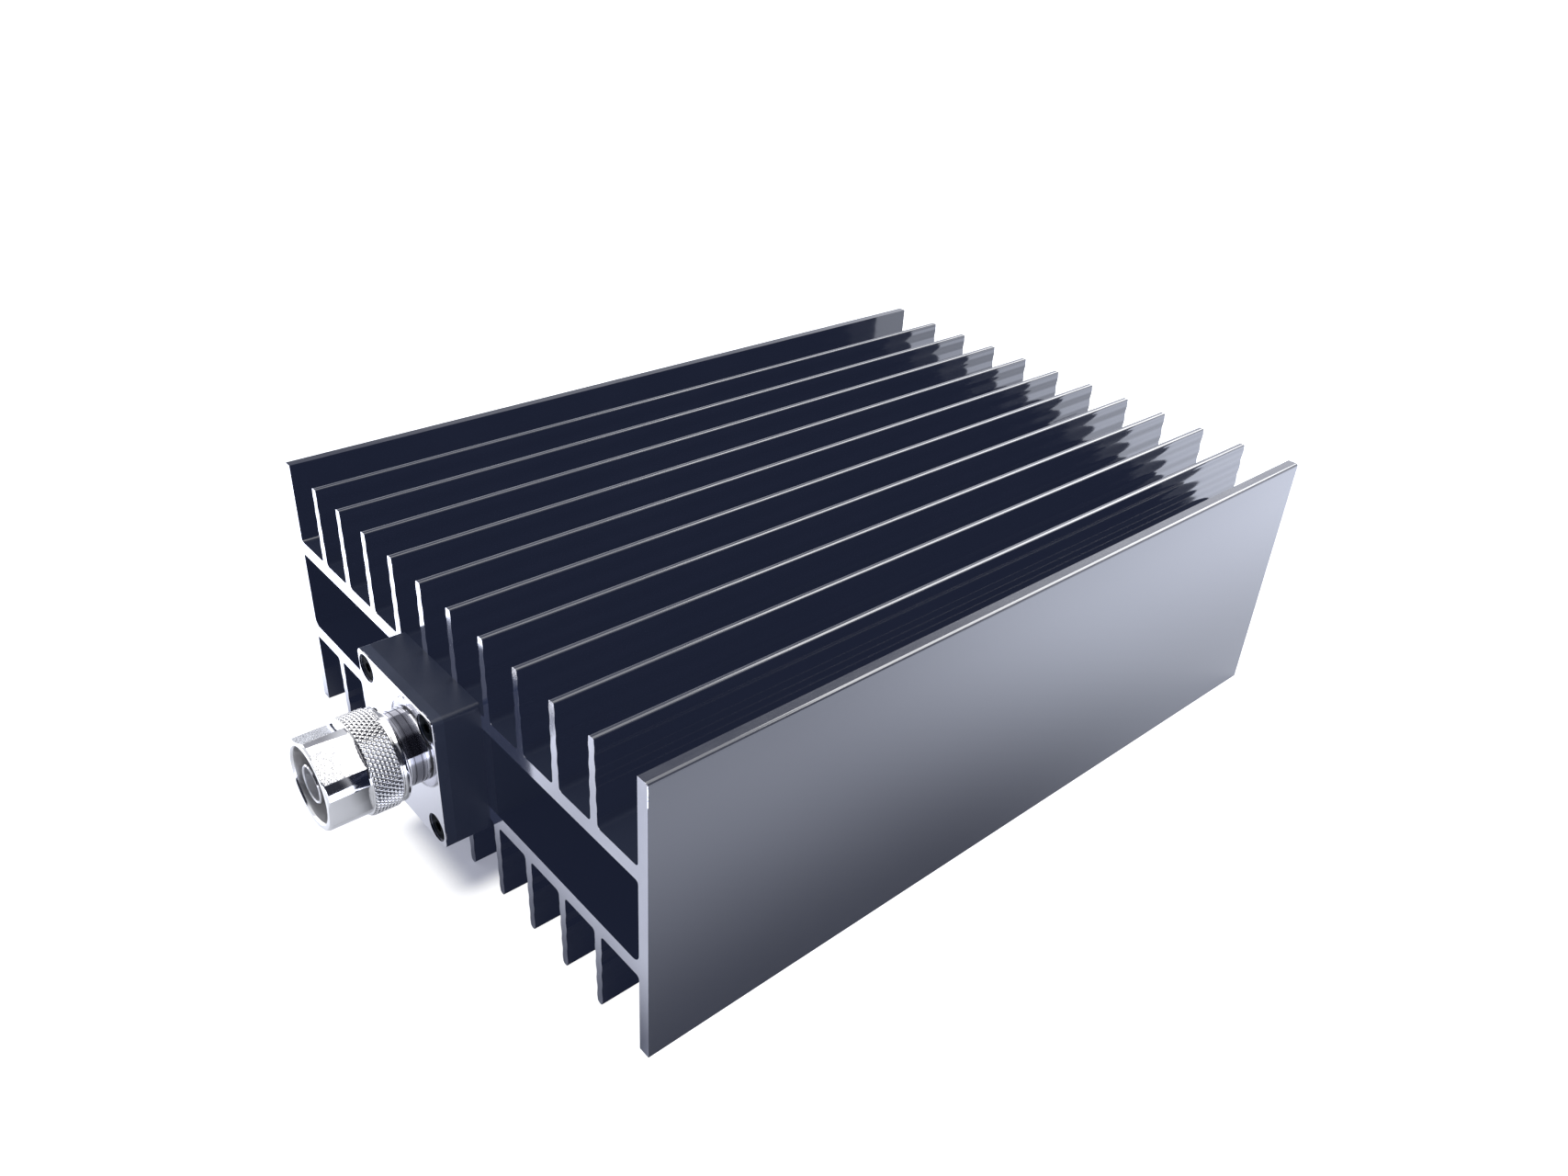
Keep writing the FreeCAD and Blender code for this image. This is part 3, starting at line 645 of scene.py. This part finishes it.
def makeNut():
    s = nut
    rear = turned([(nutPlace(outward), radius * mm) for outward, radius in [
        (0, s["bore"]), (0, s["collarRadius"] - s["collarChamfer"]), (s["collarChamfer"], s["collarRadius"]),
        (s["collarEnd"], s["collarRadius"]), (s["collarEnd"], s["neckRadius"]),
        (s["gripFrom"], s["neckRadius"]), (s["gripFrom"], s["gripFloor"]),
        (s["gripTo"], s["gripFloor"]), (s["gripTo"], s["major"]),
        (s["threadFrom"], s["major"]), (s["threadFrom"], s["minor"]),
        (s["grooveTo"], s["minor"]), (s["grooveTo"], s["grooveRadius"]),
        (s["grooveFrom"], s["grooveRadius"]), (s["grooveFrom"], s["bore"])]], s["steps"])

    def mouthLimit(y):
        fromFront = y - nutLow.y
        fromBack = nutPlace(s["threadFrom"]) - y
        short = max(0.0, (s["threadInside"] + s["leadIn"]) * mm - fromFront, s["leadOut"] * mm - fromBack)
        return min(s["minor"] * mm + short, (s["major"] - s["skin"]) * mm)

    thread = coil((s["major"] + s["sunk"]) * mm, s["minor"] * mm, nutLow.y + s["threadInside"] * mm,
                  nutPlace(s["threadFrom"] + s["threadGap"]), mouthLimit)
    makePiece("nutKnurled", [rear, knurlBand(s), hexFront(s), thread],
              nickelFinish("nutNickel", nutFlats, nutBore), "coupling_nut", "coupling_nut")


makeNut()

# Rear jack: collar, relief, threaded barrel with a chamfered nose.
# Millimetres: lengths from the rear plate, radii from the axis
jack = {
    "shank": 6.5, "collarRadius": 8.0, "collarEnd": 2.5, "relief": 7.1, "reliefEnd": 3.6, "bore": 3.5,
    "socketBottom": 5.2, "socket": 4.1, "socketChamfer": 0.8, "core": 7.32, "crest": 7.94, "chamfer": 0.6,
    "noseStep": 0.1, "threadGap": 0.5, "leadIn": 0.35, "sunk": 0.03, "steps": 144,
}


def makeJack():
    s = jack

    def out(distance):
        return rearPlateHigh.y + distance * mm

    front = jackHigh.y
    barrel = turned([
        (jackLow.y, s["bore"] * mm), (out(s["socketBottom"]), s["bore"] * mm),
        (out(s["socketBottom"]), s["socket"] * mm), (front - s["socketChamfer"] * mm, s["socket"] * mm),
        (front, (s["socket"] + s["socketChamfer"]) * mm),
        (front, (s["crest"] - s["chamfer"] - s["noseStep"]) * mm),
        (front - s["noseStep"] * mm, s["core"] * mm), (out(s["reliefEnd"]), s["core"] * mm),
        (out(s["reliefEnd"]), s["relief"] * mm), (out(s["collarEnd"]), s["relief"] * mm),
        (out(s["collarEnd"]), s["collarRadius"] * mm), (out(0), s["collarRadius"] * mm),
        (out(0), s["shank"] * mm), (jackLow.y, s["shank"] * mm)], s["steps"])

    def noseLimit(y):
        short = max(0.0, s["chamfer"] * mm - (front - y), s["leadIn"] * mm - (y - out(s["reliefEnd"])))
        return s["crest"] * mm - short

    thread = coil((s["core"] - s["sunk"]) * mm, s["crest"] * mm, out(s["reliefEnd"] + s["threadGap"]),
                  front - s["threadGap"] * mm, noseLimit)
    makePiece("jackThreaded", [barrel, thread], finishes["jack"], "body", "jack_body")


makeJack()
print("plug and jack detail made")

# Floor, in metres: it adds a glow to what the camera and the reflections see; less in a soft shade painted
# under the connector (camera), more to the right, the back, the left and the front (reflections): this
# reflected glow is painted light, kept low beside the right wall and in front as painted shadow
stage = {
    "size": 8.0, "drop": 0.05 * mm, "colour": rgb(0.37, 0.38, 0.41), "roughness": 0.9,
    "shaded": rgb(0.28, 0.29, 0.35), "shadeSide": (0.010, 0.017), "shadeFront": (-0.108, -0.099),
    "shadeBack": (-0.080, -0.070),
    "right": rgb(1.30, 1.38, 1.64), "rightSpan": (0.070, 0.125),
    "back": rgb(0.88, 0.94, 1.10), "backSpan": (-0.020, 0.100),
    "left": rgb(1.50, 1.56, 1.75), "leftSpan": (-0.120, 0.010), "leftBack": (-0.110, -0.090),
    "front": rgb(0.30, 0.31, 0.34), "frontSpan": (-0.112, -0.098),
}


def makeStage():
    s = stage
    bm = bmesh.new()
    bmesh.ops.create_grid(bm, x_segments=1, y_segments=1, size=s["size"])
    mesh = bpy.data.meshes.new("floor")
    bm.to_mesh(mesh)
    bm.free()
    mesh.transform(Matrix.Translation((0, 0, -s["drop"])))
    floor = bpy.data.objects.new("floor", mesh)
    bpy.context.scene.collection.objects.link(floor)
    f = Finish("floorPaper")
    place = f.place()
    x = f.along(place, "X")
    y = f.along(place, "Y")
    shade = f.falling(abs(x), *s["shadeSide"]) * f.between(y, *s["shadeFront"])
    shade = shade * f.falling(y, *s["shadeBack"])
    seen = f.mix(shade, white, s["shaded"])
    mirrored = f.mix(f.between(x, *s["rightSpan"]), black, s["right"])
    masks = {
        "back": f.between(y, *s["backSpan"]),
        "left": f.falling(x, *s["leftSpan"]) * f.falling(y, *s["leftBack"]),
        "front": f.falling(y, *s["frontSpan"]),
    }
    for side, mask in masks.items():
        mirrored = f.added(mirrored, f.mix(mask, black, s[side]))
    toCamera = f.node("ShaderNodeLightPath", output="Is Camera Ray")
    toGloss = f.node("ShaderNodeLightPath", output="Is Glossy Ray")
    glow = f.mix(toCamera, f.mix(toGloss, black, mirrored), seen)
    mesh.materials.append(f.surface(Base_Color=s["colour"], Roughness=s["roughness"], Emission_Color=glow,
                                    Emission_Strength=1.0))


makeStage()

# World: white to the camera; otherwise a dim room with a window behind, a pale horizon on the left and
# a dark side where the photographer stands. Spans are of the view direction's X, Y, Z
room = {
    "dim": rgb(0.34, 0.35, 0.40),
    "middle": rgb(0.73, 0.75, 0.82), "middleSpan": (0.25, 0.50),
    "window": rgb(2.20, 2.25, 2.45), "windowSpan": (0.58, 0.80),
    "horizon": rgb(1.2, 1.23, 1.33), "horizonUp": (0.12, 0.34), "horizonRight": (-0.2, 0.3),
    "front": rgb(0.80, 0.82, 0.88), "frontBack": (-0.45, -0.10), "frontRight": (-0.2, 0.2),
    "dark": rgb(0.03, 0.032, 0.045), "darkNear": (0.35, 0.52), "darkUp": (0.80, 0.95),
}


def makeRoom():
    s = room
    world = bpy.data.worlds.new("room")
    world.use_nodes = True
    bpy.context.scene.world = world
    f = Finish("room", world.node_tree)
    heading = f.node("ShaderNodeTexCoord", output="Generated")
    up = f.along(heading, "Z")
    right = f.along(heading, "X")
    back = f.along(heading, "Y")
    sky = f.mix(f.between(back, *s["middleSpan"]), s["dim"], s["middle"])
    sky = f.mix(f.between(back, *s["windowSpan"]), sky, s["window"])
    sky = f.mix(f.falling(up, *s["horizonUp"]) * f.falling(right, *s["horizonRight"]), sky, s["horizon"])
    sky = f.mix(f.falling(back, *s["frontBack"]) * f.falling(right, *s["frontRight"]), sky, s["front"])
    near = (right - back) * math.sqrt(0.5)
    sky = f.mix(f.between(near, *s["darkNear"]) * f.falling(up, *s["darkUp"]), sky, s["dark"])
    toCamera = f.node("ShaderNodeLightPath", output="Is Camera Ray")
    colour = f.mix(toCamera, sky, white)
    background = f.node("ShaderNodeBackground", None, {"Color": colour, "Strength": 1.0})
    f.finishWith(background, "ShaderNodeOutputWorld")


makeRoom()

# Soft lights: place and target in metres, size in metres, power in watts
lights = {
    "topSoftbox": {"place": (0.0, 0.20, 1.00), "target": (0.0, 0.20, 0), "width": 1.4, "depth": 0.8,
                   "power": 9.0},
    "backSoftbox": {"place": (0.0, 1.15, 1.00), "target": (0.0, 1.15, 0), "width": 1.4, "depth": 1.1,
                    "power": 38.0},
    "leftSoftbox": {"place": (-1.20, -0.60, 0.50), "target": (0, 0, 0.03), "width": 0.8, "depth": 0.6,
                    "power": 2.5},
}


def makeLights():
    for name, s in lights.items():
        data = bpy.data.lights.new(name, "AREA")
        data.shape = "RECTANGLE"
        data.size = s["width"]
        data.size_y = s["depth"]
        data.energy = s["power"]
        lamp = bpy.data.objects.new(name, data)
        lamp.location = s["place"]
        lamp.visible_camera = False
        lamp.rotation_euler = (Vector(s["target"]) - lamp.location).to_track_quat("-Z", "Y").to_euler()
        bpy.context.scene.collection.objects.link(lamp)


makeLights()

# Camera: the photograph's place, heading in degrees and lens in millimetres
photoCamera = {
    "place": (189.05 * mm, -182.71 * mm, 190.76 * mm), "turn": (58.5752, -3.1328, 48.8006),
    "lens": 28.014, "sensor": 36.0, "clipStart": 0.005, "clipEnd": 60.0,
}


def makeCamera():
    s = photoCamera
    data = bpy.data.cameras.new("photoCamera")
    data.sensor_fit = "HORIZONTAL"
    data.sensor_width = s["sensor"]
    data.lens = s["lens"]
    data.clip_start = s["clipStart"]
    data.clip_end = s["clipEnd"]
    camera = bpy.data.objects.new("photoCamera", data)
    camera.location = s["place"]
    camera.rotation_euler = Euler([math.radians(a) for a in s["turn"]], "XYZ")
    bpy.context.scene.collection.objects.link(camera)
    bpy.context.scene.camera = camera


makeCamera()
bpy.context.scene.view_settings.view_transform = "Standard"
print("stage, lights and camera set")
